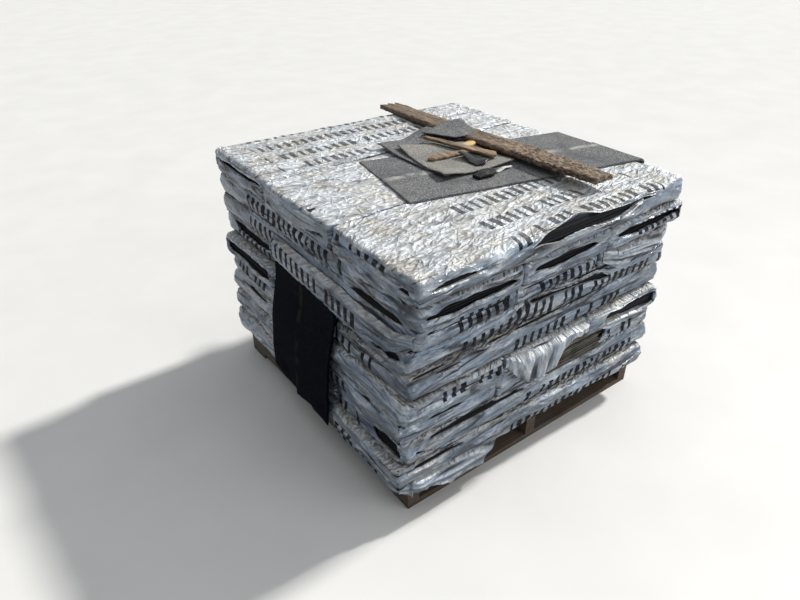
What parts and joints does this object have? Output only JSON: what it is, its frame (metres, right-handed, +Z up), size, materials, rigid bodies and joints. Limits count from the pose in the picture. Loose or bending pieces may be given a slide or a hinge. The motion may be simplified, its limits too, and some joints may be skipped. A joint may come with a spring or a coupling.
{
  "type": "palletised asphalt shingle bundles",
  "caption": "Square crosshatched stack of film-wrapped asphalt shingle bundles on a wooden pallet, with a shingle draped down one face and broken pieces lying on top.",
  "frame": {"origin": "centre of the pallet, on the underside of its middle bottom board", "axes": "+Z up; +Y along the pallet stringers, from the fork-entry face in the picture towards the back; +X along the pallet boards, away from the face with the draped shingle"},
  "size_m": [1.0759, 1.0958, 0.8019],
  "materials": {
    "film": "silver-grey shrunk film, crinkled, printed and dusty",
    "shingle_edge": "matte cut edges of asphalt sheets",
    "shingle_back": "near-black sanded asphalt",
    "shingle_face": "grey mineral granules",
    "shingle_pale": "pale grey mineral granules",
    "asphalt": "broken asphalt",
    "black_plastic": "torn black sheet",
    "pallet_wood": "rough sawn, weathered",
    "weathered_wood": "rough, weathered and splintered",
    "fresh_wood": "freshly split"
  },
  "bodies": {
    "root": {"broken_board": "weathered_wood", "film_strip": "film", "hanging_shingle": "shingle_back", "loose_shingle": "shingle_face", "pallet_bottom_board_1": "pallet_wood", "pallet_bottom_board_2": "pallet_wood", "pallet_bottom_board_3": "pallet_wood", "pallet_deck_board_1": "pallet_wood", "pallet_deck_board_2": "pallet_wood", "pallet_deck_board_3": "pallet_wood", "pallet_deck_board_4": "pallet_wood", "pallet_deck_board_5": "pallet_wood", "pallet_deck_board_6": "pallet_wood", "pallet_deck_board_7": "pallet_wood", "pallet_stringer_1": "pallet_wood", "pallet_stringer_2": "pallet_wood", "pallet_stringer_3": "pallet_wood", "plastic_offcut": "black_plastic", "scrap_flap": "shingle_face", "scrap_over": "shingle_pale", "scrap_under": "shingle_face", "shingles_layer_1": "shingle_edge", "shingles_layer_2": "shingle_edge", "shingles_layer_3": "shingle_edge", "shingles_layer_4": "shingle_edge", "shingles_layer_5": "shingle_edge", "shingles_layer_6": "shingle_edge", "shingles_layer_7": "shingle_edge", "shingles_layer_8": "shingle_edge", "shingles_layer_9": "shingle_edge", "splinter_dark": "weathered_wood", "splinter_long": "weathered_wood", "splinter_pale": "fresh_wood", "tar_lump": "asphalt", "wrap_layer_1": "film", "wrap_layer_2": "film", "wrap_layer_3": "film", "wrap_layer_4": "film", "wrap_layer_5": "film", "wrap_layer_6": "film", "wrap_layer_7": "film", "wrap_layer_8": "film", "wrap_layer_9": "film"}
  },
  "joints": []
}
